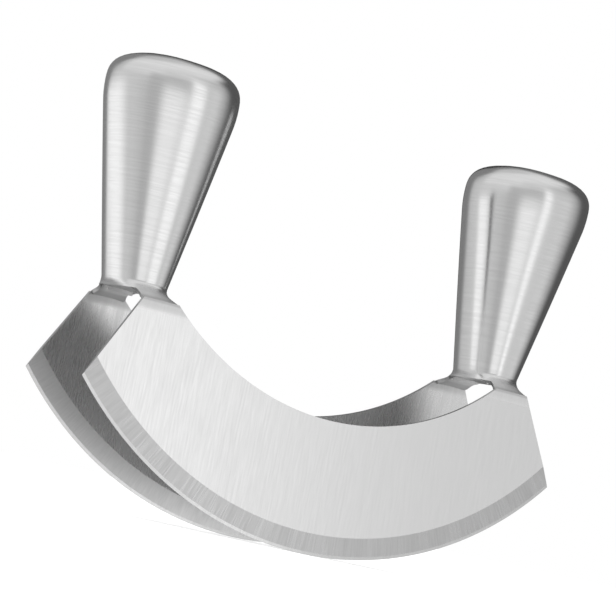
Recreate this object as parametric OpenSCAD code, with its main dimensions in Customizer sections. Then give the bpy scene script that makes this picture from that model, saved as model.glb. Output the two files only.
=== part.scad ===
// Double-bladed mezzaluna of stainless steel: two crescent blades under two hollow, tapered handles.
// +X runs along the blades to the right, +Y to the back and +Z up.
// The origin lies on the board, below the middle of the tool, which stands on its two cutting edges.

/* [Blades] */
// Length of a blade from tip to tip
blade_length = 180; // [160:1:200]
// Radius of the rocking cutting edge
edge_r = 123; // [112:1:150]
// Depth of a blade at its middle, from the cutting edge up to the hollow
blade_depth = 43.5; // [36:0.5:50]
// How far a blade's tips reach out past its tabs
tip_reach = 15.456; // [12:0.002:20]
// Height of the weld line, where the blades meet the handles, above the cutting edges
weld_h = 67.2; // [60:0.2:72]
// Width of the tab at the top of a blade's horn, on the weld line
tab_w = 12.6; // [11.6:0.2:16]
// Thickness of a blade
blade_t = 1.4; // [1:0.1:2]
// Distance over the outsides of the two blades at the weld line
blade_span = 38.2; // [34:0.2:44]
// Angle by which each blade leans out towards its edge
blade_lean = 3; // [0:0.5:5]

/* [Grinding] */
// Height of the bevelled band along a cutting edge
bevel_w = 7; // [4:0.5:10]
// Thickness left at the foot of the bevel
bevel_t = 0.5; // [0.4:0.1:0.8]
// Height of the honed strip at the very edge
honed_w = 1; // [0.5:0.1:2]
// Thickness left at the cutting edge
edge_t = 0.15; // [0.1:0.05:0.3]

/* [Handles] */
// Height of a handle above the weld line
handle_h = 76.4; // [65:0.2:95]
// Angle by which each handle leans out to its side
handle_lean = 1.6; // [0:0.1:4]
// Width of a handle's neck along the blades
neck_w = 16.4; // [13:0.2:20]
// Depth of a handle's neck, across the blades
neck_d = 21.4; // [18:0.2:28]
// Width of a handle's head along the blades
head_w = 43; // [32:0.2:50]
// Depth of a handle's head, across the blades
head_d = 36.8; // [30:0.2:40]
// Height of the domed cap on a handle
cap_h = 11; // [8:0.2:14]
// Wall of the handle shells
shell_t = 1.2; // [0.8:0.1:1.6]
// Wall of the caps
cap_t = 1.2; // [0.8:0.1:1.6]

/* [Feet of the handles] */
// Height of the flare that brings a handle's front and back out to the blades
foot_h = 7.2; // [6:0.1:9]
// Height over which the foot's outer side draws in to the blade's end
waist_out_h = 5; // [3:0.1:5.5]
// Height over which the foot's inner side draws in to the blade's hollow
waist_in_h = 3.6; // [2:0.1:5]
// Height of the sides' lower edges above the weld line
side_h = 2.4; // [1.8:0.1:3]
// Wall of the plate that closes a handle from below
plate_t = 1.2; // [0.8:0.1:1.6]
// Depth of the lips that the closing plate turns down along the blades
lip_h = 1.2; // [1:0.1:1.6]

/* [Hidden] */
$fn = 180;
steel = [0.80, 0.80, 0.81];
bright_steel = [0.86, 0.86, 0.87];

// The blade's outline, seen from the front: its hollow is an arc between the two tabs
tip_h = edge_r - sqrt(pow(edge_r, 2) - pow(blade_length / 2, 2));
tab_out = blade_length / 2 - tip_reach;
tab_in = tab_out - tab_w;
tab_x = (tab_in + tab_out) / 2;
hollow_rise = weld_h - blade_depth;
hollow_r = (pow(tab_in, 2) + pow(hollow_rise, 2)) / (2 * hollow_rise);
hollow_z = blade_depth + hollow_r;
end_slope = tip_reach / (weld_h - tip_h);
overrun = blade_t;

// A leaning blade is a little lower than it is deep
weld_z = weld_h * cos(blade_lean) + (blade_t + edge_t) / 2 * sin(blade_lean);

// The handle's outline: the neck sits a little outside the middle of the tab
neck_shift_share = 0.065;
neck_x = tab_x + neck_shift_share * tab_w;
seam_h = handle_h - cap_h;
ease_share = 0.6;
ease_h = ease_share * cap_h;
flare_d = (blade_span - neck_d) / 2;
foot_curve = 2;
foot_round_share = 1;
waist_curve = 2;
swell_share = 2.4;

// The handle's section is a rounded rectangle at the foot and a full, soft oval above it
foot_corner_share = 0.12;
foot_corner_curve = 3;
neck_power = 2.85;
head_power = 2.35;
cap_power = 2.9;

// How a section's points are shared out between its side, its corner and its face
side_steps = 4;
corner_steps = 8;
face_steps = 4;
side_turn = 22;
corner_turn = 70;

// Heights of the rows of points, as shares of the foot, of the handle above it, and turns of the cap
sill_shares = [0, 0.12, 0.3, 0.52, 0.76, 1];
foot_shares = [0, 0.28, 0.62, 1];
grip_shares = [0.15, 0.35, 0.6, 0.82, 0.91, 1];
cap_turns = [0, 7, 15, 24, 34, 45, 57, 70, 82];
plate_top = side_h + plate_t;
sill_rows = [for (s = sill_shares) s * side_h];
foot_rows = [for (s = foot_shares) plate_top + s * (foot_h - plate_top)];
grip_rows = [for (s = grip_shares) foot_h + s * (seam_h - foot_h)];
shell_rows = concat(sill_rows, foot_rows, grip_rows);

function power(v, p) = sign(v) * pow(abs(v), p);
function mix(a, b, s) = a + (b - a) * s;
function left_over(h, whole) = max(0, 1 - h / whole);

// How much of the foot's flare, across and along the blades, is left at height h above the weld line
function flare_at(h) =
  let (s = left_over(h, foot_h))
  pow(s, foot_curve) * (1 + foot_round_share * (1 - s));
function waist_out_at(h) = pow(left_over(h, waist_out_h), waist_curve);
function waist_in_at(h) = pow(left_over(h, waist_in_h), waist_curve);

// Share of the taper reached at height h; it eases off below the cap's seam
ease_start = seam_h - ease_h;
taper_len = seam_h - ease_h / 2;
function taper_at(h) =
  (h <= ease_start ? h : h - pow(h - ease_start, 2) / (2 * ease_h)) / taper_len;

// Outer and inner sides of the handle at height h above the weld line, then its middle and half sizes
flare_out = tab_out - neck_x - neck_w / 2;
flare_in = neck_x - neck_w / 2 - tab_in;
function lean_at(h) = neck_x + tan(handle_lean) * h;
function bare_w(h) = mix(neck_w, head_w, taper_at(h)) / 2;
function out_at(h) = lean_at(h) + bare_w(h) + flare_out * waist_out_at(h);
function in_at(h) = lean_at(h) - bare_w(h) - flare_in * waist_in_at(h);
function mid_at(h) = (out_at(h) + in_at(h)) / 2;
function half_w(h) = (out_at(h) - in_at(h)) / 2;
function half_d(h) = mix(neck_d, head_d, taper_at(h)) / 2 + flare_at(h) * flare_d;

// The wall is thicker across the blades where the foot slopes
function wall_at(h) = shell_t * (1 + swell_share * flare_at(h) * (1 - flare_at(h)));

// One quarter of a section, from its side at [1, 0] to its face at [0, 1]
steps = side_steps + corner_steps + face_steps;
function turn_at(i) =
  i <= side_steps ? side_turn * i / side_steps :
  i <= side_steps + corner_steps ? mix(side_turn, corner_turn, (i - side_steps) / corner_steps) :
  mix(corner_turn, 90, (i - side_steps - corner_steps) / face_steps);

function oval(i, w, d, p) = [w * power(cos(turn_at(i)), 2 / p), d * power(sin(turn_at(i)), 2 / p)];

function rounded(i, w, d, r) =
  i <= side_steps ? [w, (d - r) * i / side_steps] :
  i >= side_steps + corner_steps ? [(w - r) * (steps - i) / face_steps, d] :
  let (a = 90 * (i - side_steps) / corner_steps) [w - r * (1 - cos(a)), d - r * (1 - sin(a))];

// Below the top of the foot the section passes from the rounded rectangle to the oval
function quarter(h, i, wall_w, wall_d) =
  let (
    w = half_w(h) - wall_w,
    d = half_d(h) - wall_d,
    s = 1 - pow(flare_at(h), foot_corner_curve),
    p = mix(neck_power, head_power, taper_at(h))
  )
  mix(rounded(i, w, d, foot_corner_share * w), oval(i, w, d, p), s);

// The front half of a section, from the seam on the handle's outer side round to the inner one
function front_half(h, wall_w, wall_d) = concat(
  [for (i = [0 : steps]) let (q = quarter(h, i, wall_w, wall_d)) [mid_at(h) + q[0], -q[1], h]],
  [for (i = [steps - 1 : -1 : 0]) let (q = quarter(h, i, wall_w, wall_d)) [mid_at(h) - q[0], -q[1], h]]
);

function flat(rows) = [for (row = rows) each row];

// Faces of a grid of points: n rows of m points each, numbered from a start
function grid(n, m, start, flip) = [
  for (r = [0 : n - 2], c = [0 : m - 2])
    let (a = start + r * m + c, q = [a, a + 1, a + m + 1, a + m])
    for (t = [[q[0], q[1], q[2]], [q[0], q[2], q[3]]])
      flip ? [t[2], t[1], t[0]] : t
];

// A strip between two equally long runs of points
function strip(a, b) = [
  for (i = [0 : len(a) - 2])
    for (t = [[a[i], b[i], b[i + 1]], [a[i], b[i + 1], a[i + 1]]]) t
];

// The whole bent sheet of a half shell, from the weld line to the cap's seam
module half_shell_sheet() {
  n = len(shell_rows);
  m = 2 * steps + 1;
  outer = flat([for (h = shell_rows) front_half(h, 0, 0)]);
  inner = flat([for (h = shell_rows) front_half(h, shell_t, wall_at(h))]);
  k = n * m;
  first = [for (c = [0 : m - 1]) c];
  last = [for (c = [0 : m - 1]) (n - 1) * m + c];
  edge_a = [for (r = [0 : n - 1]) r * m];
  edge_b = [for (r = [0 : n - 1]) r * m + m - 1];
  polyhedron(
    points = concat(outer, inner),
    faces = concat(
      grid(n, m, 0, false),
      grid(n, m, k, true),
      strip(first, [for (i = first) i + k]),
      strip([for (i = last) i + k], last),
      strip([for (i = edge_a) i + k], edge_a),
      strip(edge_b, [for (i = edge_b) i + k])
    ),
    convexity = 6
  );
}

// Under its side walls the shell is open: only the flared front wall runs down to the blade
module side_opening() {
  low = [for (h = sill_rows) [-half_d(h) + wall_at(h), h]];
  outline = concat([[0, -overrun], [low[0][0], -overrun]], low, [[0, side_h]]);
  translate([tab_x - tab_w, 0, 0])
    rotate([90, 0, 90])
      linear_extrude(2 * tab_w)
        polygon(outline);
}

module front_shell() {
  color(steel)
    translate([0, 0, weld_z])
      difference() {
        half_shell_sheet();
        side_opening();
      }
}

// The cap is a soft dome, square to the leaning handle's seam
function dome_row(turn, wall) =
  let (
    low = power(cos(turn), 2 / cap_power),
    up = power(sin(turn), 2 / cap_power),
    w = (half_w(seam_h) - wall) * low,
    d = (half_d(seam_h) - wall) * low,
    h = seam_h + (cap_h - wall) * up
  )
  concat(
    [for (i = [0 : steps - 1]) let (q = oval(i, w, d, head_power)) [mid_at(h) + q[0], -q[1], h]],
    [for (i = [steps : -1 : 1]) let (q = oval(i, w, d, head_power)) [mid_at(h) - q[0], -q[1], h]],
    [for (i = [0 : steps - 1]) let (q = oval(i, w, d, head_power)) [mid_at(h) - q[0], q[1], h]],
    [for (i = [steps : -1 : 1]) let (q = oval(i, w, d, head_power)) [mid_at(h) + q[0], q[1], h]]
  );

// Faces of a closed ring grid: rows of m points, each row joined round to its start
function ring_grid(n, m, start, flip) = [
  for (r = [0 : n - 2], c = [0 : m - 1])
    let (
      a = start + r * m + c,
      b = start + r * m + (c + 1) % m,
      q = [a, b, b + m, a + m]
    )
    for (t = [[q[0], q[1], q[2]], [q[0], q[2], q[3]]])
      flip ? [t[2], t[1], t[0]] : t
];

function fan(row_start, m, tip, flip) = [
  for (c = [0 : m - 1])
    let (t = [row_start + c, row_start + (c + 1) % m, tip])
    flip ? [t[2], t[1], t[0]] : t
];

module cap() {
  n = len(cap_turns);
  m = 4 * steps;
  k = n * m;
  outer = flat([for (t = cap_turns) dome_row(t, 0)]);
  inner = flat([for (t = cap_turns) dome_row(t, cap_t)]);
  top = [mid_at(handle_h), 0, handle_h];
  ceiling = [mid_at(handle_h - cap_t), 0, handle_h - cap_t];
  round_trip = [for (c = [0 : m]) c % m];
  color(bright_steel)
    translate([0, 0, weld_z])
      polyhedron(
        points = concat(outer, inner, [top, ceiling]),
        faces = concat(
          ring_grid(n, m, 0, false),
          ring_grid(n, m, k, true),
          fan(k - m, m, 2 * k, false),
          fan(2 * k - m, m, 2 * k + 1, true),
          strip(round_trip, [for (i = round_trip) i + k])
        ),
        convexity = 6
      );
}

// A whole section of the handle's inside at height h
function inside(h) =
  let (q = [for (i = [0 : steps]) quarter(h, i, shell_t, wall_at(h))])
  concat(
    [for (i = [0 : steps - 1]) [mid_at(h) + q[i][0], q[i][1]]],
    [for (i = [steps : -1 : 1]) [mid_at(h) - q[i][0], q[i][1]]],
    [for (i = [0 : steps - 1]) [mid_at(h) - q[i][0], -q[i][1]]],
    [for (i = [steps : -1 : 1]) [mid_at(h) + q[i][0], -q[i][1]]]
  );

// The closing plate fills the neck between the shells' walls, with lips turned down along the blades
module base_plate() {
  reach_d = half_d(plate_top) - wall_at(plate_top);
  lip_w = 2 * half_w(side_h);
  color(steel)
    translate([0, 0, weld_z]) {
      translate([0, 0, side_h])
        linear_extrude(plate_t)
          intersection() {
            polygon(inside(side_h));
            polygon(inside(plate_top));
          }
      for (side = [-1, 1])
        translate([mid_at(plate_top), side * (reach_d - plate_t / 2), side_h - lip_h / 2])
          cube([lip_w, plate_t, lip_h], center = true);
    }
}

// A blade's outline before its edge is ground round; its tabs run a little past the weld line
module blade_outline() {
  half_at_top = tab_out - end_slope * overrun;
  half_at_low = tab_out + end_slope * (weld_h + overrun);
  top = weld_h + overrun;
  low = -overrun;
  difference() {
    polygon([[-half_at_top, top], [-half_at_low, low], [half_at_low, low], [half_at_top, top]]);
    translate([0, hollow_z])
      circle(hollow_r);
  }
}

// The ground disc: a wheel with the blade's bevels round its rim
module ground_disc() {
  hub_r = (edge_r - blade_depth) / 2;
  bevel_in = (blade_t - bevel_t) / 2;
  edge_in = (blade_t - edge_t) / 2;
  rotate_extrude()
    polygon([
      [hub_r, 0],
      [edge_r - bevel_w, 0],
      [edge_r - honed_w, bevel_in],
      [edge_r, edge_in],
      [edge_r, blade_t - edge_in],
      [edge_r - honed_w, blade_t - bevel_in],
      [edge_r - bevel_w, blade_t],
      [hub_r, blade_t]
    ]);
}

module front_blade() {
  color(bright_steel)
    difference() {
      translate([0, -blade_span / 2, weld_z])
        rotate([-blade_lean, 0, 0])
          translate([0, blade_t, -weld_h])
            rotate([90, 0, 0])
              intersection() {
                linear_extrude(blade_t)
                  blade_outline();
                translate([0, edge_r, 0])
                  ground_disc();
              }
      translate([-blade_length / 2, -blade_span, weld_z])
        cube([blade_length, blade_span, weld_h]);
    }
}

module rear_blade() {
  mirror([0, 1, 0])
    front_blade();
}

module right_handle_front_shell() front_shell();

module right_handle_rear_shell() {
  mirror([0, 1, 0])
    front_shell();
}

module right_handle_cap() cap();

module right_handle_base_plate() base_plate();

module left_handle_front_shell() {
  mirror([1, 0, 0])
    right_handle_front_shell();
}

module left_handle_rear_shell() {
  mirror([1, 0, 0])
    right_handle_rear_shell();
}

module left_handle_cap() {
  mirror([1, 0, 0])
    right_handle_cap();
}

module left_handle_base_plate() {
  mirror([1, 0, 0])
    right_handle_base_plate();
}

front_blade();
rear_blade();
left_handle_front_shell();
left_handle_rear_shell();
left_handle_cap();
left_handle_base_plate();
right_handle_front_shell();
right_handle_rear_shell();
right_handle_cap();
right_handle_base_plate();
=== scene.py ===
from math import atan2, cos, pi, radians, sin, sqrt, tan

import bmesh
import bpy
from mathutils import Matrix, Vector


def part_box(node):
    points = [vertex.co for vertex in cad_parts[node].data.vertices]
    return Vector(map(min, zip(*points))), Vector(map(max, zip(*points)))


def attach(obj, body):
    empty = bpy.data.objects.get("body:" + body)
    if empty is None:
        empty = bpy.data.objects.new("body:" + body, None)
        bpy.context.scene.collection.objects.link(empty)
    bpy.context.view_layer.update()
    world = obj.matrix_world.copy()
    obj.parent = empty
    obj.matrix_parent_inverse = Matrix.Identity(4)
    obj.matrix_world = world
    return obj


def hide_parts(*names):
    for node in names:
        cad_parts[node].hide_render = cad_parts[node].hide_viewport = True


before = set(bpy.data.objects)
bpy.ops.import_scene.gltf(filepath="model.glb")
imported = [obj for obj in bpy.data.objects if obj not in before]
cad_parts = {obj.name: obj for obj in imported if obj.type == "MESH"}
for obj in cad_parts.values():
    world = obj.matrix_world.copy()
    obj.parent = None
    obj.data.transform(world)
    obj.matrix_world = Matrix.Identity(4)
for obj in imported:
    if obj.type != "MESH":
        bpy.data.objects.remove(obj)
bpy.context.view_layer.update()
mm = 0.001
mergeDistance = mm / 1000
white = (1, 1, 1, 1)
print("frame loaded")


# Camera: low in front, to the left of the tool, rolled so that the tool hangs to the right
camera = {
    "place": (-0.4738, -0.7824, 0.0111),
    "turn": -30.93,        # degrees, looking to the right of straight ahead
    "pitch": 4.22,         # degrees up
    "roll": 12.52,         # degrees
    "lens": 163.6,         # mm
    "sensor": 36,          # mm
    "nearest": 0.01,       # metres, of what it sees
    "farthest": 100,
}


def addCamera():
    lens = bpy.data.cameras.new("camera")
    lens.lens = camera["lens"]
    lens.sensor_width = camera["sensor"]
    lens.clip_start = camera["nearest"]
    lens.clip_end = camera["farthest"]
    shooter = bpy.data.objects.new("camera", lens)
    turn = Matrix.Rotation(radians(camera["turn"]), 4, "Z")
    pitch = Matrix.Rotation(radians(90 + camera["pitch"]), 4, "X")
    roll = Matrix.Rotation(radians(camera["roll"]), 4, "Z")
    shooter.matrix_world = Matrix.Translation(camera["place"]) @ turn @ pitch @ roll
    bpy.context.scene.collection.objects.link(shooter)
    bpy.context.scene.camera = shooter


addCamera()
print("camera placed")


# Helpers that build node trees
def grey(tone):
    return (tone, tone, tone, 1)


def newGroup(name, inputs, outputs):
    tree = bpy.data.node_groups.new(name, "ShaderNodeTree")
    for label, kind, value in inputs:
        socket = tree.interface.new_socket(label, in_out="INPUT", socket_type=kind)
        if value is not None:
            socket.default_value = value
    for label, kind in outputs:
        tree.interface.new_socket(label, in_out="OUTPUT", socket_type=kind)
    return tree, tree.nodes.new("NodeGroupInput"), tree.nodes.new("NodeGroupOutput")


def addNode(tree, kind, settings=None, inputs=None):
    made = tree.nodes.new(kind)
    for key, value in (settings or {}).items():
        setattr(made, key, value)
    for key, value in (inputs or {}).items():
        socket = made.inputs[key]
        if isinstance(value, bpy.types.NodeSocket):
            tree.links.new(value, socket)
        else:
            socket.default_value = value
    return made


def mathNode(tree, operation, first, second=None):
    values = {0: first} if second is None else {0: first, 1: second}
    return addNode(tree, "ShaderNodeMath", {"operation": operation}, values).outputs[0]


# From the first value to the last, softly, while the input runs from start to end
def softStep(tree, value, start, end, first=1.0, last=0.0):
    return addNode(tree, "ShaderNodeMapRange", {"interpolation_type": "SMOOTHSTEP"}, {
        "Value": value, "From Min": start, "From Max": end, "To Min": first, "To Max": last,
    }).outputs["Result"]


# Fine lines left by an abrasive belt, with slower streaks among them
def makeBrushLines():
    tree, source, out = newGroup(
        "brushLines",
        [("Vector", "NodeSocketVector", None)],
        [("Lines", "NodeSocketFloat"), ("Streaks", "NodeSocketFloat")],
    )
    fine = addNode(tree, "ShaderNodeTexNoise", None,
                   {"Vector": source.outputs["Vector"], "Scale": 1.0, "Detail": 4.0, "Roughness": 0.65})
    slow = addNode(tree, "ShaderNodeTexNoise", None,
                   {"Vector": source.outputs["Vector"], "Scale": 0.12, "Detail": 2.0, "Roughness": 0.5})
    tree.links.new(fine.outputs["Fac"], out.inputs["Lines"])
    tree.links.new(slow.outputs["Fac"], out.inputs["Streaks"])
    return tree


# Steel's colour, roughness and relief from those lines
def makeSatinSteel(lines):
    tree, source, out = newGroup(
        "satinSteel",
        [
            ("Vector", "NodeSocketVector", None),
            ("Bright", "NodeSocketColor", grey(0.8)),
            ("Dull", "NodeSocketColor", grey(0.66)),
            ("Smooth", "NodeSocketFloat", 0.25),
            ("Rough", "NodeSocketFloat", 0.4),
            ("Streaks", "NodeSocketFloat", 0.5),
        ],
        [("Color", "NodeSocketColor"), ("Roughness", "NodeSocketFloat"), ("Height", "NodeSocketFloat")],
    )
    brushed = addNode(tree, "ShaderNodeGroup", {"node_tree": lines}, {"Vector": source.outputs["Vector"]})
    mixed = addNode(tree, "ShaderNodeMix", None, {
        "Factor": source.outputs["Streaks"],
        "A": brushed.outputs["Lines"],
        "B": brushed.outputs["Streaks"],
    })
    spread = addNode(tree, "ShaderNodeMapRange", None, {
        "Value": mixed.outputs["Result"], "From Min": 0.3, "From Max": 0.7,
    })
    tone = addNode(tree, "ShaderNodeMix", {"data_type": "RGBA"}, {"Factor": spread.outputs["Result"]})
    tree.links.new(source.outputs["Dull"], tone.inputs[6])
    tree.links.new(source.outputs["Bright"], tone.inputs[7])
    rough = addNode(tree, "ShaderNodeMapRange", None, {
        "Value": spread.outputs["Result"],
        "To Min": source.outputs["Rough"],
        "To Max": source.outputs["Smooth"],
    })
    tree.links.new(tone.outputs[2], out.inputs["Color"])
    tree.links.new(rough.outputs["Result"], out.inputs["Roughness"])
    tree.links.new(brushed.outputs["Lines"], out.inputs["Height"])
    return tree


# Distances along and across the rim of a wheel, so that grinding marks can run square to a round edge
def makeWheelCoordinates():
    tree, source, out = newGroup(
        "wheelCoordinates",
        [
            ("Vector", "NodeSocketVector", None),
            ("Wheel height", "NodeSocketFloat", 0.123),
        ],
        [("Vector", "NodeSocketVector")],
    )
    parts = addNode(tree, "ShaderNodeSeparateXYZ", None, {"Vector": source.outputs["Vector"]})
    below = mathNode(tree, "SUBTRACT", source.outputs["Wheel height"], parts.outputs["Z"])
    angle = mathNode(tree, "ARCTAN2", parts.outputs["X"], below)
    along = mathNode(tree, "MULTIPLY", angle, source.outputs["Wheel height"])
    squares = mathNode(tree, "ADD", mathNode(tree, "POWER", parts.outputs["X"], 2.0),
                       mathNode(tree, "POWER", below, 2.0))
    radius = mathNode(tree, "SQRT", squares)
    joined = addNode(tree, "ShaderNodeCombineXYZ", None,
                     {"X": along, "Y": parts.outputs["Y"], "Z": radius})
    tree.links.new(joined.outputs[0], out.inputs["Vector"])
    return tree


# Soft clouds where the finish is a little duller from handling and dressing
def makeHandling():
    tree, source, out = newGroup(
        "handling",
        [
            ("Vector", "NodeSocketVector", None),
            ("Size", "NodeSocketFloat", 60.0),
            ("Amount", "NodeSocketFloat", 0.5),
        ],
        [("Mask", "NodeSocketFloat")],
    )
    cloud = addNode(tree, "ShaderNodeTexNoise", None,
                    {"Vector": source.outputs["Vector"], "Scale": source.outputs["Size"],
                     "Detail": 3.0, "Roughness": 0.55})
    edge = addNode(tree, "ShaderNodeMapRange", None,
                   {"Value": cloud.outputs["Fac"], "From Min": 0.42, "From Max": 0.72})
    tree.links.new(mathNode(tree, "MULTIPLY", edge.outputs["Result"], source.outputs["Amount"]),
                   out.inputs["Mask"])
    return tree


# A band round the weld line where hand grinding left the finish duller, and in its middle a painted dark
# line: shade painted into the crease where the handle's foot bends into the blade
def makeWeldGroundAndCreaseShade():
    tree, source, out = newGroup(
        "weldGroundAndCreaseShade",
        [
            ("Vector", "NodeSocketVector", None),
            ("Weld height", "NodeSocketFloat", 0.067),
            ("Reach", "NodeSocketFloat", 0.006),
            ("Line", "NodeSocketFloat", 0.001),
            ("Core", "NodeSocketFloat", 0.4),
        ],
        [("Ground", "NodeSocketFloat"), ("Line", "NodeSocketFloat")],
    )
    height = addNode(tree, "ShaderNodeSeparateXYZ", None, {"Vector": source.outputs["Vector"]}).outputs["Z"]
    away = mathNode(tree, "ABSOLUTE", mathNode(tree, "SUBTRACT", height, source.outputs["Weld height"]))
    for label, reach in (("Ground", source.outputs["Reach"]), ("Line", source.outputs["Line"])):
        core = mathNode(tree, "MULTIPLY", reach, source.outputs["Core"])
        tree.links.new(softStep(tree, away, core, reach), out.inputs[label])
    return tree


brushLines = makeBrushLines()
satinSteel = makeSatinSteel(brushLines)
wheelCoordinates = makeWheelCoordinates()
handling = makeHandling()
weldGroundAndCreaseShade = makeWeldGroundAndCreaseShade()

# Finishes: each is steel with its own direction of brushing, tone and roughness
bladeFinish = {
    "bright": 0.79, "dull": 0.73,
    "smooth": 0.20, "rough": 0.26, "streaks": 0.12,
    "stretch": (1600, 1600, 30), "relief": 0.10, "anisotropic": 0.0,
}
# The bevel's darker tones are painted shade, standing in for the darker reflection the bevel shows; its
# roughness and grain are the grinding's own
bevelShadedFinish = {
    "bright": 0.60, "dull": 0.47,
    "smooth": 0.22, "rough": 0.36, "streaks": 0.3,
    "stretch": (1500, 1500, 60), "relief": 0.20, "anisotropic": 0.0,
}
honedFinish = {
    "bright": 0.72, "dull": 0.62,
    "smooth": 0.18, "rough": 0.28, "streaks": 0.3,
    "stretch": (3200, 3200, 200), "relief": 0.1, "anisotropic": 0.0,
}
# The tones of the inner faces and inner bevels are painted light and shade. They are set to how these faces
# look between the blades, where light bounces from sheet to sheet, and not to the steel's own tone, which is
# the outer faces'.
innerShadedFinish = {
    "bright": 0.75, "dull": 0.67,
    "smooth": 0.22, "rough": 0.32, "streaks": 0.2,
    "stretch": (1600, 1600, 30), "relief": 0.10, "anisotropic": 0.0,
}
innerBevelShadedFinish = {
    "bright": 0.74, "dull": 0.64,
    "smooth": 0.30, "rough": 0.44, "streaks": 0.3,
    "stretch": (1500, 1500, 60), "relief": 0.20, "anisotropic": 0.0,
}
sheetEdgeFinish = {
    "bright": 0.66, "dull": 0.50,
    "smooth": 0.25, "rough": 0.40, "streaks": 0.4,
    "stretch": (900, 900, 900), "relief": 0.1, "anisotropic": 0.0,
}
# The rims where the shells' walls end are painted dark: painted shade along the wall edges
rimShadeFinish = {**sheetEdgeFinish, "bright": 0.36, "dull": 0.24}
handleFinish = {
    "bright": 0.76, "dull": 0.69,
    "smooth": 0.17, "rough": 0.25, "streaks": 0.08,
    "stretch": (60, 60, 1800), "relief": 0.12, "anisotropic": 0.3,
}
# What all finishes share
surface = {
    "reliefDepth": 0.02 * mm,
    "cloudSize": 55.0,
    "cloudDulling": 0.35,
    "quarterTurn": 0.25,         # reflections stretch across the brushing
}
weld = {
    "reach": 4.0 * mm,           # above and below the weld line
    "line": 1.1 * mm,            # the same, of the painted crease shade in the middle
    "core": 0.4,                 # of both, where they have their full strength
    "rough": 0.48,
    # Tone and share of the painted shade: the base colour darkens along the weld line, standing in for the
    # shade in the crease
    "tone": 0.50,
    "creaseShadeShare": 0.6,
}


def steelMaterial(name, finish, onWheel=False):
    material = bpy.data.materials.new(name)
    material.use_nodes = True
    tree = material.node_tree
    tree.nodes.clear()
    out = tree.nodes.new("ShaderNodeOutputMaterial")
    place = addNode(tree, "ShaderNodeTexCoord").outputs["Object"]
    along = place
    if onWheel:
        along = addNode(tree, "ShaderNodeGroup", {"node_tree": wheelCoordinates},
                        {"Vector": place, "Wheel height": blade["edgeRadius"]}).outputs["Vector"]
    stretched = addNode(tree, "ShaderNodeMapping", None, {"Vector": along, "Scale": finish["stretch"]})
    steel = addNode(tree, "ShaderNodeGroup", {"node_tree": satinSteel}, {
        "Vector": stretched.outputs["Vector"],
        "Bright": grey(finish["bright"]),
        "Dull": grey(finish["dull"]),
        "Smooth": finish["smooth"],
        "Rough": finish["rough"],
        "Streaks": finish["streaks"],
    })
    clouds = addNode(tree, "ShaderNodeGroup", {"node_tree": handling},
                     {"Vector": place, "Size": surface["cloudSize"], "Amount": surface["cloudDulling"]})
    rough = addNode(tree, "ShaderNodeMix", None, {
        "Factor": clouds.outputs["Mask"], "A": steel.outputs["Roughness"], "B": finish["rough"],
    })
    blend = addNode(tree, "ShaderNodeGroup", {"node_tree": weldGroundAndCreaseShade}, {
        "Vector": place, "Weld height": weldZ,
        "Reach": weld["reach"], "Line": weld["line"], "Core": weld["core"],
    })
    ground = addNode(tree, "ShaderNodeMix", None, {
        "Factor": blend.outputs["Ground"], "A": rough.outputs["Result"], "B": weld["rough"],
    })
    # Painted shade: the base colour darkens towards the weld tone along the crease
    tone = addNode(tree, "ShaderNodeMix", {"data_type": "RGBA"},
                   {"Factor": mathNode(tree, "MULTIPLY", blend.outputs["Line"], weld["creaseShadeShare"])})
    tree.links.new(steel.outputs["Color"], tone.inputs[6])
    tone.inputs[7].default_value = grey(weld["tone"])
    bump = addNode(tree, "ShaderNodeBump", None, {
        "Strength": finish["relief"], "Distance": surface["reliefDepth"], "Height": steel.outputs["Height"],
    })
    shader = addNode(tree, "ShaderNodeBsdfPrincipled", None, {
        "Base Color": tone.outputs[2],
        "Metallic": 1.0,
        "Roughness": ground.outputs["Result"],
        "Anisotropic": finish["anisotropic"],
        "Anisotropic Rotation": surface["quarterTurn"],
        "Normal": bump.outputs["Normal"],
    })
    tree.links.new(shader.outputs[0], out.inputs["Surface"])
    return material


def newObject(name, bm, materials=()):
    mesh = bpy.data.meshes.new(name)
    bm.to_mesh(mesh)
    bm.free()
    made = bpy.data.objects.new(name, mesh)
    bpy.context.scene.collection.objects.link(made)
    for material in materials:
        mesh.materials.append(material)
    return made


def addPiece(name, bm, materials, node):
    piece = newObject(name, bm, materials)
    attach(piece, "root")
    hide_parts(node)
    return piece


cornerAngle = radians(30)    # edges that turn by more are broken, as with a file


def breakCorners(piece, width):
    rounding = piece.modifiers.new("rounding", "BEVEL")
    rounding.width = width
    rounding.segments = 2
    rounding.limit_method = "ANGLE"
    rounding.angle_limit = cornerAngle
    rounding.harden_normals = True
    rounding.use_clamp_overlap = True


# Blades: a sector of a ground wheel, trimmed to a crescent and leaned out
blade = {
    "edgeRadius": 123 * mm,
    "bevelHeight": 7 * mm,
    "honedHeight": 1 * mm,
    "thickness": 1.4 * mm,
    "bevelThickness": 0.5 * mm,
    "edgeThickness": 0.15 * mm,
    "tipReach": 15.456 * mm,
    "tabWidth": 12.6 * mm,
    "depth": 43.5 * mm,
    "lean": 3,               # degrees
    "hubRadius": 50 * mm,
    "sector": 56,            # degrees either side of straight down
    "sectorSteps": 160,
    "hollowSteps": 320,
    "rounding": 0.12 * mm,   # of the sheet's cut edges
    "sharpAngle": 2,         # degrees
}
bladeLow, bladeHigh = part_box("front_blade")
halfLength = bladeHigh.x
weldZ = bladeHigh.z
lean = radians(blade["lean"])
outerY = bladeHigh.y - blade["thickness"] / cos(lean)
weldAlong = (weldZ - (blade["thickness"] + blade["edgeThickness"]) / 2 * sin(lean)) / cos(lean)
tipHeight = blade["edgeRadius"] - sqrt(blade["edgeRadius"] ** 2 - halfLength ** 2)
tabOut = halfLength - blade["tipReach"]
tabIn = tabOut - blade["tabWidth"]
hollowRise = weldAlong - blade["depth"]
hollowRadius = (tabIn ** 2 + hollowRise ** 2) / (2 * hollowRise)

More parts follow.
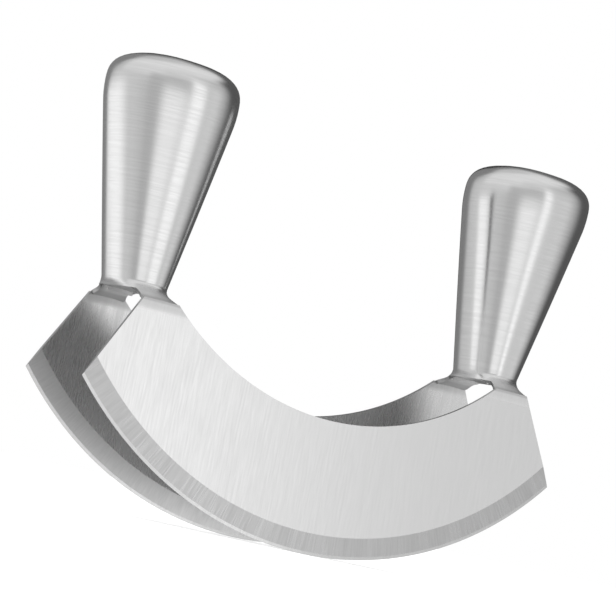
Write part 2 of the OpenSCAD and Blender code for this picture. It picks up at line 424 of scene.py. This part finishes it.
# The blade's surfaces, in the order of its material slots
bladeSurfaces = {
    "face": steelMaterial("bladeSteel", bladeFinish),
    "bevel": steelMaterial("shadedBevelSteel", bevelShadedFinish, onWheel=True),
    "honed": steelMaterial("honedSteel", honedFinish, onWheel=True),
    "sheetEdge": steelMaterial("sheetEdgeSteel", sheetEdgeFinish),
    "innerFace": steelMaterial("shadedInnerSteel", innerShadedFinish),
    "innerBevel": steelMaterial("shadedInnerBevelSteel", innerBevelShadedFinish, onWheel=True),
}
slotOf = {name: index for index, name in enumerate(bladeSurfaces)}
shadedRimSteel = steelMaterial("shadedRimSteel", rimShadeFinish)
handleSteel = steelMaterial("handleSteel", handleFinish)


def cutOff(bm, place, outward):
    everything = bm.verts[:] + bm.edges[:] + bm.faces[:]
    cut = bmesh.ops.bisect_plane(bm, geom=everything, dist=mergeDistance, plane_co=place,
                                 plane_no=outward, clear_outer=True)
    rim = [part for part in cut["geom_cut"] if isinstance(part, bmesh.types.BMEdge)]
    for face in bmesh.ops.contextual_create(bm, geom=rim)["faces"]:
        face.material_index = slotOf["sheetEdge"]


def makeWheelSector():
    bm = bmesh.new()
    thick = blade["thickness"]
    bevelIn = (thick - blade["bevelThickness"]) / 2
    edgeIn = (thick - blade["edgeThickness"]) / 2
    rim = blade["edgeRadius"]
    profile = [
        (blade["hubRadius"], 0),
        (rim - blade["bevelHeight"], 0),
        (rim - blade["honedHeight"], bevelIn),
        (rim, edgeIn),
        (rim, thick - edgeIn),
        (rim - blade["honedHeight"], thick - bevelIn),
        (rim - blade["bevelHeight"], thick),
        (blade["hubRadius"], thick),
    ]
    verts = [bm.verts.new((0, y, rim - radius)) for radius, y in profile]
    section = bm.faces.new(verts)
    hub = Vector((0, 0, rim))
    start = Matrix.Rotation(radians(-blade["sector"]), 3, "Y")
    bmesh.ops.rotate(bm, verts=verts, cent=hub, matrix=start)
    bmesh.ops.spin(bm, geom=[section, *section.edges, *verts], cent=hub, axis=(0, 1, 0),
                   angle=radians(2 * blade["sector"]), steps=blade["sectorSteps"])
    bmesh.ops.remove_doubles(bm, verts=bm.verts[:], dist=mergeDistance)
    bmesh.ops.recalc_face_normals(bm, faces=bm.faces[:])
    for face in bm.faces:
        middle = face.calc_center_median() - hub
        reach = sqrt(middle.x ** 2 + middle.z ** 2)
        if reach > rim - blade["honedHeight"]:
            face.material_index = slotOf["honed"]
        elif reach > rim - blade["bevelHeight"]:
            face.material_index = slotOf["bevel"]
    return bm


# The front blade: the sector trimmed at its ends and its top, then cut hollow by a drum
def makeFrontBlade():
    bm = makeWheelSector()
    rise = weldAlong - tipHeight
    for side in (-1, 1):
        outward = Vector((side * rise, 0, blade["tipReach"])).normalized()
        cutOff(bm, (side * halfLength, 0, tipHeight), outward)
    pose = Matrix.Translation((0, outerY, weldZ)) @ Matrix.Rotation(-lean, 4, "X")
    pose = pose @ Matrix.Translation((0, 0, -weldAlong))
    bmesh.ops.transform(bm, matrix=pose, verts=bm.verts[:])
    cutOff(bm, (0, 0, weldZ), (0, 0, 1))
    crescent = newObject("crescent", bm)

    drum = bmesh.new()
    drumDepth = 8 * blade["thickness"]
    bmesh.ops.create_cone(drum, cap_ends=True, segments=blade["hollowSteps"], radius1=hollowRadius,
                          radius2=hollowRadius, depth=drumDepth)
    lying = Matrix.Translation((0, 0, blade["depth"] + hollowRadius)) @ Matrix.Rotation(pi / 2, 4, "X")
    bmesh.ops.transform(drum, matrix=pose @ lying, verts=drum.verts[:])
    cutter = newObject("drum", drum)
    hollow = crescent.modifiers.new("hollow", "BOOLEAN")
    hollow.operation = "DIFFERENCE"
    hollow.solver = "EXACT"
    hollow.object = cutter
    view = bpy.context.evaluated_depsgraph_get()
    cutMesh = bpy.data.meshes.new_from_object(crescent.evaluated_get(view))
    bpy.data.objects.remove(crescent)
    bpy.data.objects.remove(cutter)
    cut = bmesh.new()
    cut.from_mesh(cutMesh)
    bmesh.ops.remove_doubles(cut, verts=cut.verts[:], dist=mergeDistance)
    return cut


# The cut sheet edges and the side that faces the other blade have finishes of their own
def nameSurfaces(bm):
    sideways = 0.5    # cut edges look less than this to the front or to the back
    face, bevel = slotOf["face"], slotOf["bevel"]
    for part in bm.faces:
        back = part.normal.y
        if abs(back) < sideways and part.material_index == face:
            part.material_index = slotOf["sheetEdge"]
        elif back > sideways and part.material_index == face:
            part.material_index = slotOf["innerFace"]
        elif back > sideways and part.material_index == bevel:
            part.material_index = slotOf["innerBevel"]


def makeBlades():
    for node, flip in (("front_blade", 1), ("rear_blade", -1)):
        bm = makeFrontBlade()
        nameSurfaces(bm)
        bmesh.ops.scale(bm, vec=(1, flip, 1), verts=bm.verts[:])
        bmesh.ops.recalc_face_normals(bm, faces=bm.faces[:])
        piece = addPiece(node + "_ground", bm, bladeSurfaces.values(), node)
        piece.data.shade_smooth()
        piece.data.set_sharp_from_angle(angle=radians(blade["sharpAngle"]))
        breakCorners(piece, blade["rounding"])


makeBlades()
print("blades ground")


# Handles: a pressed front and rear shell and a domed cap, tapering to a neck that flares out to the blades
capLow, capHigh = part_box("right_handle_cap")
handle = {
    "neckWidth": 16.4 * mm,
    "neckDepth": 21.4 * mm,
    "headWidth": capHigh.x - capLow.x,
    "headDepth": capHigh.y - capLow.y,
    "lean": 1.6,                 # degrees, out to the side
    "seam": capLow.z - weldZ,    # heights are above the weld line
    "top": capHigh.z - weldZ,
    "easing": 6.6 * mm,          # of the taper, below the seam
    "neckPower": 2.85,
    "headPower": 2.35,
    "tabPower": 24,              # the foot ends as a rectangle on the blade's tab
    "capPower": 2.9,
    "neckShift": 0.065,          # outward, as a share of the tab
    "span": -2 * outerY,
    "footHeight": 5.2 * mm,
    "outerSweep": 5 * mm,
    "innerSweep": 3.6 * mm,
    "waist": 0.5 * mm,           # drawn in on the inner side
    "sideFoot": 2.4 * mm,
    "wall": 1.2 * mm,
    "swell": 2.4,                # of the wall where the foot slopes
    "quarters": 32,              # faces per quarter turn
    "tongueStart": 19,           # the face, counted from the side, where the foot's front wall begins
    "support": 0.15 * mm,        # a close pair of rows either side of the cap's seam
}
sides = {"left": -1, "right": 1}
tabMiddle = (tabIn + tabOut) / 2
neckMiddle = tabMiddle + handle["neckShift"] * blade["tabWidth"]
tongueStart = handle["tongueStart"] / handle["quarters"]
# Rows of faces, closer where the form bends more: shares of the foot, the grip and the foot's front wall,
# and the dome's turns in degrees
footShares = [0.08, 0.17, 0.26, 0.36, 0.46, 0.56, 0.67, 0.78, 0.89, 1.0]
gripShares = [0.05, 0.15, 0.3, 0.45, 0.6, 0.74, 0.82, 0.87, 0.91, 0.94, 0.97, 0.99]
tongueShares = [0.9, 0.79, 0.68, 0.57, 0.46, 0.36, 0.26, 0.16, 0.07, 0.0]
domeTurns = [3, 7, 12, 17, 23, 29, 35, 42, 49, 56, 63, 70, 76, 81, 85, 88]


def mix(a, b, share):
    return a + (b - a) * share


def leftOver(height, whole):
    return max(0.0, 1 - height / whole)


def taperAt(height):
    easing = handle["easing"]
    start = handle["seam"] - easing
    run = height if height <= start else height - (height - start) ** 2 / (2 * easing)
    return run / (handle["seam"] - easing / 2)


def flareAt(height):
    left = leftOver(height, handle["footHeight"])
    return left ** 2 * (2 - left)


# Middle, half width and half depth of the handle's section at a height
def sizesAt(height):
    taper = taperAt(min(height, handle["seam"]))
    middle = neckMiddle + tan(radians(handle["lean"])) * height
    bare = mix(handle["neckWidth"], handle["headWidth"], taper) / 2
    halfNeck = handle["neckWidth"] / 2
    outer = middle + bare + (tabOut - neckMiddle - halfNeck) * leftOver(height, handle["outerSweep"]) ** 2
    inner = middle - bare - (neckMiddle - halfNeck - tabIn) * leftOver(height, handle["innerSweep"]) ** 2
    inner += handle["waist"] * sin(pi * min(1.0, height / handle["footHeight"])) ** 2
    depth = mix(handle["neckDepth"], handle["headDepth"], taper) / 2
    depth += flareAt(height) * (handle["span"] - handle["neckDepth"]) / 2
    return (inner + outer) / 2, (outer - inner) / 2, depth


# How far the section reaches at a turn, as a share of its half sizes: an oval, squared off at the foot
def reachAt(height, turn):
    across, along = abs(cos(turn)), abs(sin(turn))
    power = mix(handle["neckPower"], handle["headPower"], taperAt(min(height, handle["seam"])))
    oval = (across ** power + along ** power) ** (-1 / power)
    square = (across ** handle["tabPower"] + along ** handle["tabPower"]) ** (-1 / handle["tabPower"])
    return mix(oval, square, flareAt(height) ** 3)


# The turn at which the foot's front wall begins, just inside the section's depth, found by halving
def tongueTurn(height):
    flare = flareAt(height)
    inside = 1 - handle["wall"] * (1 + handle["swell"] * flare * (1 - flare)) / sizesAt(height)[2]
    low, high = 0.0, pi / 2
    halvings = 40
    for _ in range(halvings):
        turn = (low + high) / 2
        low, high = (turn, high) if reachAt(height, turn) * sin(turn) < inside else (low, turn)
    return low


# A vertex's turn from its place round the section, which runs from 0 at the right side through 4 quarters.
# The places are bent so that one falls on the corner of the foot's front wall.
def turnAt(height, place):
    start = tongueStart
    corner = tongueTurn(min(height, handle["sideFoot"]))
    fade = min(1.0, max(0.0, (height - handle["sideFoot"]) / (handle["footHeight"] - handle["sideFoot"])))
    corner = mix(corner, start * pi / 2, fade)
    quarter = int(place) if place < 4 else 3
    share = place - quarter
    if quarter % 2:
        share = 1 - share
    bent = corner * share / start if share <= start else mix(corner, pi / 2, (share - start) / (1 - start))
    return (quarter + 1) * pi / 2 - bent if quarter % 2 else quarter * pi / 2 + bent


def layRow(verts, place, height, shrink=1.0, section=None):
    middle, halfWidth, halfDepth = sizesAt(height)
    section = height if section is None else section
    for vert in verts:
        turn = turnAt(section, vert[place])
        reach = reachAt(section, turn) * shrink
        vert.co = (middle + halfWidth * reach * cos(turn), halfDepth * reach * sin(turn), weldZ + height)


def raiseRow(bm, edges):
    grown = bmesh.ops.extrude_edge_only(bm, edges=edges)["geom"]
    verts = [part for part in grown if isinstance(part, bmesh.types.BMVert)]
    fresh = set(verts)
    edges = [part for part in grown
             if isinstance(part, bmesh.types.BMEdge) and all(v in fresh for v in part.verts)]
    return verts, edges


def startRow(bm):
    place = bm.verts.layers.float.new("place")
    bmesh.ops.create_circle(bm, segments=4 * handle["quarters"], radius=1)
    for vert in bm.verts:
        vert[place] = (atan2(vert.co.y, vert.co.x) % (2 * pi)) / (pi / 2)
    return place


def smoothOut(bm, face, outward):
    bmesh.ops.recalc_face_normals(bm, faces=bm.faces[:])
    if face.normal.dot(outward) < 0:
        bmesh.ops.reverse_faces(bm, faces=bm.faces[:])
    for each in bm.faces:
        each.smooth = True
    for edge in bm.edges:
        edge.smooth = not edge.is_boundary


# A front half shell: from the sides' lower edges up to the seam, then the foot's front wall down to the blade
def makeFrontShell():
    bm = bmesh.new()
    place = startRow(bm)
    slack = 0.001    # of a quarter
    rear = [vert for vert in bm.verts if slack < vert[place] < 2 - slack]
    bmesh.ops.delete(bm, geom=rear, context="VERTS")
    for vert in bm.verts:
        if vert[place] < 1:
            vert[place] = 4.0
    base = bm.verts[:]
    baseEdges = bm.edges[:]
    sill = handle["sideFoot"]
    layRow(base, place, sill)
    edges = baseEdges
    heights = [mix(sill, handle["footHeight"], share) for share in footShares]
    heights += [mix(handle["footHeight"], handle["seam"], share) for share in gripShares]
    heights += [handle["seam"] - handle["support"], handle["seam"]]
    for height in heights:
        verts, edges = raiseRow(bm, edges)
        layRow(verts, place, height)
    tongue = {vert for vert in base if 2 + tongueStart - slack < vert[place] < 4 - tongueStart + slack}
    edges = [edge for edge in baseEdges if all(v in tongue for v in edge.verts)]
    for share in tongueShares:
        verts, edges = raiseRow(bm, edges)
        layRow(verts, place, share * sill)
    front = min(bm.faces, key=lambda face: face.calc_center_median().y)
    smoothOut(bm, front, Vector((0, -1, 0)))
    return bm


def makeCap():
    bm = bmesh.new()
    place = startRow(bm)
    layRow(bm.verts, place, handle["seam"])
    verts, edges = raiseRow(bm, bm.edges[:])
    layRow(verts, place, handle["seam"] + handle["support"], section=handle["seam"])
    for degrees in domeTurns:
        up = sin(radians(degrees)) ** (2 / handle["capPower"])
        across = cos(radians(degrees)) ** (2 / handle["capPower"])
        verts, edges = raiseRow(bm, edges)
        layRow(verts, place, mix(handle["seam"], handle["top"], up), across, handle["seam"])
    verts, edges = raiseRow(bm, edges)
    crown = Vector((sizesAt(handle["top"])[0], 0, weldZ + handle["top"]))
    bmesh.ops.pointmerge(bm, verts=verts, merge_co=crown)
    highest = max(bm.faces, key=lambda face: face.calc_center_median().z)
    smoothOut(bm, highest, Vector((0, 0, 1)))
    return bm


# Pieces are made for the right handle's front, and turned over for the others
def turnOver(bm, flipX, flipY=1):
    bmesh.ops.scale(bm, vec=(flipX, flipY, 1), verts=bm.verts[:])
    if flipX * flipY < 0:
        bmesh.ops.reverse_faces(bm, faces=bm.faces[:])


def addSkin(bm, node):
    piece = addPiece(node + "_skin", bm, [handleSteel, shadedRimSteel], node)
    wall = piece.modifiers.new("wall", "SOLIDIFY")
    wall.thickness = handle["wall"]
    wall.offset = -1
    wall.use_even_offset = True
    # the wall's rims take the rim steel, painted dark as shade
    wall.material_offset_rim = 1


def makeHandles():
    for side, flipX in sides.items():
        for part, flipY in (("front_shell", 1), ("rear_shell", -1)):
            bm = makeFrontShell()
            turnOver(bm, flipX, flipY)
            addSkin(bm, side + "_handle_" + part)
        bm = makeCap()
        turnOver(bm, flipX)
        addSkin(bm, side + "_handle_cap")


makeHandles()
print("handles pressed")


# Base plates: each closes a foot from below, with two lips turned down inside it
plate = {
    "thickness": 1.2 * mm,
    "play": 0.1 * mm,            # between the plate and the shells' walls
    "lipHeight": 1.2 * mm,
    "lipTrim": 1.7 * mm,         # from the tab's sides
    "overlap": 0.3 * mm,
    "rounding": 0.12 * mm,
}


def addBox(bm, low, high):
    middle = (low + high) / 2
    size = high - low
    bmesh.ops.create_cube(bm, size=1, matrix=Matrix.Translation(middle) @ Matrix.Diagonal((*size, 1)))


def makeBasePlate():
    bm = bmesh.new()
    place = startRow(bm)
    low = handle["sideFoot"]
    top = low + plate["thickness"]
    foot = weldZ + low
    inset = handle["wall"] + plate["play"]
    middle, halfWidth, halfDepth = sizesAt(top)
    for vert in bm.verts:
        turn = turnAt(top, vert[place])
        reach = reachAt(top, turn)
        across = (halfWidth - inset) * reach * cos(turn)
        vert.co = (middle + across, (halfDepth - inset) * reach * sin(turn), foot)
    outline = bm.edges[:]
    verts, edges = raiseRow(bm, outline)
    bmesh.ops.translate(bm, vec=(0, 0, plate["thickness"]), verts=verts)
    bmesh.ops.contextual_create(bm, geom=outline)
    bmesh.ops.contextual_create(bm, geom=edges)
    lipOut = halfDepth - inset
    lipIn = lipOut - plate["thickness"]
    for near, far in ((-lipOut, -lipIn), (lipIn, lipOut)):
        addBox(bm, Vector((tabIn + plate["lipTrim"], near, foot - plate["lipHeight"])),
               Vector((tabOut - plate["lipTrim"], far, foot + plate["overlap"])))
    bmesh.ops.recalc_face_normals(bm, faces=bm.faces[:])
    return bm


def makeBasePlates():
    for side, flipX in sides.items():
        bm = makeBasePlate()
        turnOver(bm, flipX)
        node = side + "_handle_base_plate"
        piece = addPiece(node + "_pressed", bm, [handleSteel], node)
        breakCorners(piece, plate["rounding"])


makeBasePlates()
print("base plates fitted")


# Studio: a pale floor under a white sky, a soft lamp overhead, and a dome of cards that only reflections see
studio = {
    "sky": 1.0,
    "floorSize": 60.0,
    "floorTone": 0.86,
    "floorGlow": 0.42,
    "domeRadius": 3.0,
    "domeHeight": 0.1,
    "domeTone": 0.64,
    "lampPower": 4.0,
    "lampSize": 0.9,
    "lampPlace": (-0.5, -0.5, 1.1),
}
# Cards on the dome, in degrees, each lying over the ones before it. "around" has a card's middle, from the
# front towards the left, its half width and the softness of its sides. "up" has its lower and upper ends,
# from the horizon, and their softness.
cards = {
    "ceiling": {"around": (0, 190, 10), "up": (46, 120, 16), "tone": 0.92},
    "rear ceiling": {"around": (190, 45, 50), "up": (46, 80, 16), "tone": 0.66},
    "left wall": {"around": (75, 62, 16), "up": (13, 52, 10), "tone": 0.88},
    "front wall": {"around": (-5, 32, 16), "up": (22, 52, 22), "tone": 0.80},
    "front gap": {"around": (12, 42, 20), "up": (-60, 22, 14), "tone": 0.56},
    "front card": {"around": (2, 20, 24), "up": (-60, 6, 8), "tone": 1.10},
    "right wall": {"around": (-45, 8, 10), "up": (-60, 22, 14), "tone": 0.80},
    "slit": {"around": (-26, 5, 5), "up": (-50, 26, 24), "tone": 1.35},
    "left rise": {"around": (112, 40, 40), "up": (-60, 16, 14), "tone": 0.74},
    "right shade": {"around": (-111, 42, 34), "up": (-40, 48, 14), "tone": 0.11},
    "rear shade": {"around": (182, 26, 12), "up": (-40, 50, 14), "tone": 0.25},
    "far strip": {"around": (207, 9, 5), "up": (-40, 34, 8), "tone": 0.02},
}


def emptyMaterial(name):
    material = bpy.data.materials.new(name)
    material.use_nodes = True
    material.node_tree.nodes.clear()
    return material, material.node_tree, material.node_tree.nodes.new("ShaderNodeOutputMaterial")


def paintFloor():
    material, tree, out = emptyMaterial("paleFloor")
    place = addNode(tree, "ShaderNodeTexCoord").outputs["Object"]
    grain = addNode(tree, "ShaderNodeTexNoise", None, {"Vector": place, "Scale": 300.0, "Detail": 2.0})
    rough = addNode(tree, "ShaderNodeMapRange", None,
                    {"Value": grain.outputs["Fac"], "To Min": 0.75, "To Max": 0.85})
    paper = addNode(tree, "ShaderNodeBsdfPrincipled", None, {
        "Base Color": grey(studio["floorTone"]),
        "Roughness": rough.outputs["Result"],
        "Specular IOR Level": 0.0,
    })
    path = addNode(tree, "ShaderNodeLightPath")
    glow = addNode(tree, "ShaderNodeEmission", None, {
        "Color": white,
        "Strength": mathNode(tree, "MULTIPLY", path.outputs["Is Camera Ray"], studio["floorGlow"]),
    })
    both = addNode(tree, "ShaderNodeAddShader", None, {0: paper.outputs[0], 1: glow.outputs[0]})
    tree.links.new(both.outputs[0], out.inputs["Surface"])
    return material


def addStage(name, bm, material):
    made = newObject(name, bm, [material])
    return made


def makeFloor():
    bm = bmesh.new()
    bmesh.ops.create_grid(bm, x_segments=1, y_segments=1, size=studio["floorSize"] / 2)
    floor = addStage("floor", bm, paintFloor())
    floor.visible_glossy = False


def makeSky():
    world = bpy.data.worlds.new("sky")
    bpy.context.scene.world = world
    world.use_nodes = True
    tree = world.node_tree
    tree.nodes.clear()
    glow = addNode(tree, "ShaderNodeBackground", None, {"Color": white, "Strength": studio["sky"]})
    out = tree.nodes.new("ShaderNodeOutputWorld")
    tree.links.new(glow.outputs[0], out.inputs["Surface"])


# One card: its tone where the direction lies inside its limits, the tone so far elsewhere
def makeStudioCard():
    limits = ["Middle", "Half", "Side edge", "Low", "High", "End edge", "Card tone"]
    names = ["Tone", "Azimuth", "Elevation", *limits]
    tree, source, out = newGroup("studioCard", [(name, "NodeSocketFloat", 0.0) for name in names],
                                 [("Tone", "NodeSocketFloat")])
    value = source.outputs

    def fade(distance, reach, edge):
        half = mathNode(tree, "MULTIPLY", edge, 0.5)
        return softStep(tree, distance, mathNode(tree, "SUBTRACT", reach, half),
                        mathNode(tree, "ADD", reach, half))

    turned = mathNode(tree, "SUBTRACT", value["Azimuth"], value["Middle"])
    wrapped = addNode(tree, "ShaderNodeMath", {"operation": "WRAP"}, {0: turned, 1: 180.0, 2: -180.0})
    inSides = fade(mathNode(tree, "ABSOLUTE", wrapped.outputs[0]), value["Half"], value["Side edge"])
    middle = mathNode(tree, "MULTIPLY", mathNode(tree, "ADD", value["Low"], value["High"]), 0.5)
    reach = mathNode(tree, "MULTIPLY", mathNode(tree, "SUBTRACT", value["High"], value["Low"]), 0.5)
    above = mathNode(tree, "ABSOLUTE", mathNode(tree, "SUBTRACT", value["Elevation"], middle))
    inEnds = fade(above, reach, value["End edge"])
    mixed = addNode(tree, "ShaderNodeMix", None, {
        "Factor": mathNode(tree, "MULTIPLY", inSides, inEnds), "A": value["Tone"], "B": value["Card tone"],
    })
    tree.links.new(mixed.outputs["Result"], out.inputs["Tone"])
    return tree


def paintDome():
    material, tree, out = emptyMaterial("dome")
    place = addNode(tree, "ShaderNodeTexCoord").outputs["Object"]
    level = addNode(tree, "ShaderNodeVectorMath", {"operation": "SUBTRACT"},
                    {0: place, 1: (0, 0, studio["domeHeight"])}).outputs[0]
    parts = addNode(tree, "ShaderNodeSeparateXYZ", None, {"Vector": level}).outputs
    azimuth = mathNode(tree, "ARCTAN2", mathNode(tree, "MULTIPLY", parts["X"], -1.0),
                       mathNode(tree, "MULTIPLY", parts["Y"], -1.0))
    rise = mathNode(tree, "ARCSINE", mathNode(tree, "DIVIDE", parts["Z"], studio["domeRadius"]))
    around = mathNode(tree, "DEGREES", azimuth)
    up = mathNode(tree, "DEGREES", rise)
    group = makeStudioCard()
    tone = studio["domeTone"]
    for name, card in cards.items():
        middle, half, sideEdge = card["around"]
        low, high, endEdge = card["up"]
        tone = addNode(tree, "ShaderNodeGroup", {"node_tree": group, "label": name}, {
            "Tone": tone, "Azimuth": around, "Elevation": up,
            "Middle": middle, "Half": half, "Side edge": sideEdge,
            "Low": low, "High": high, "End edge": endEdge, "Card tone": card["tone"],
        }).outputs["Tone"]
    glow = addNode(tree, "ShaderNodeEmission", None, {"Color": white, "Strength": tone})
    tree.links.new(glow.outputs[0], out.inputs["Surface"])
    return material


def onlyReflect(made):
    made.visible_camera = False
    made.visible_diffuse = False
    made.visible_shadow = False


def makeDome():
    bm = bmesh.new()
    bmesh.ops.create_uvsphere(bm, u_segments=96, v_segments=48, radius=studio["domeRadius"])
    bmesh.ops.translate(bm, verts=bm.verts[:], vec=(0, 0, studio["domeHeight"]))
    onlyReflect(addStage("dome", bm, paintDome()))


# A bright card close behind the left handle, so that the right handle sees it narrower and further round
nearCard = {
    "place": (-0.198, 0.143),
    "facing": (0.811, -0.585),
    "halfWidth": 0.16,
    "high": 0.17,
    "fadeIn": (-0.15, -0.02),    # along the card
    "fadeOut": (0.045, 0.085),
    "fadeUp": (0.11, 0.17),
    "tone": 1.2,
}


def paintNearCard():
    material, tree, out = emptyMaterial("nearCard")
    place = addNode(tree, "ShaderNodeTexCoord").outputs["Object"]
    faceX, faceY = nearCard["facing"]
    away = addNode(tree, "ShaderNodeVectorMath", {"operation": "SUBTRACT"},
                   {0: place, 1: (*nearCard["place"], 0)}).outputs[0]
    along = addNode(tree, "ShaderNodeVectorMath", {"operation": "DOT_PRODUCT"},
                    {0: away, 1: (-faceY, faceX, 0)}).outputs["Value"]
    height = addNode(tree, "ShaderNodeSeparateXYZ", None, {"Vector": place}).outputs["Z"]
    starts = softStep(tree, along, *nearCard["fadeIn"], 0.0, 1.0)
    ends = softStep(tree, along, *nearCard["fadeOut"])
    lowers = softStep(tree, height, *nearCard["fadeUp"])
    mask = mathNode(tree, "MULTIPLY", mathNode(tree, "MULTIPLY", starts, ends), lowers)
    clear = tree.nodes.new("ShaderNodeBsdfTransparent")
    glow = addNode(tree, "ShaderNodeEmission", None, {"Color": white, "Strength": nearCard["tone"]})
    both = addNode(tree, "ShaderNodeMixShader", None, {0: mask, 1: clear.outputs[0], 2: glow.outputs[0]})
    tree.links.new(both.outputs[0], out.inputs["Surface"])
    return material


def makeNearCard():
    bm = bmesh.new()
    x, y = nearCard["place"]
    faceX, faceY = nearCard["facing"]
    half = nearCard["halfWidth"]
    corners = [(-half, 0), (half, 0), (half, nearCard["high"]), (-half, nearCard["high"])]
    bm.faces.new([bm.verts.new((x - faceY * along, y + faceX * along, z)) for along, z in corners])
    onlyReflect(addStage("nearCard", bm, paintNearCard()))


def makeLamp():
    light = bpy.data.lights.new("overhead", "AREA")
    light.energy = studio["lampPower"]
    light.size = studio["lampSize"]
    lamp = bpy.data.objects.new("overhead", light)
    away = Vector(studio["lampPlace"])
    lamp.matrix_world = Matrix.Translation(away) @ away.to_track_quat("Z", "Y").to_matrix().to_4x4()
    lamp.visible_glossy = False
    bpy.context.scene.collection.objects.link(lamp)


makeFloor()
makeSky()
makeDome()
makeNearCard()
makeLamp()
bpy.context.scene.view_settings.view_transform = "Standard"
print("studio lit")
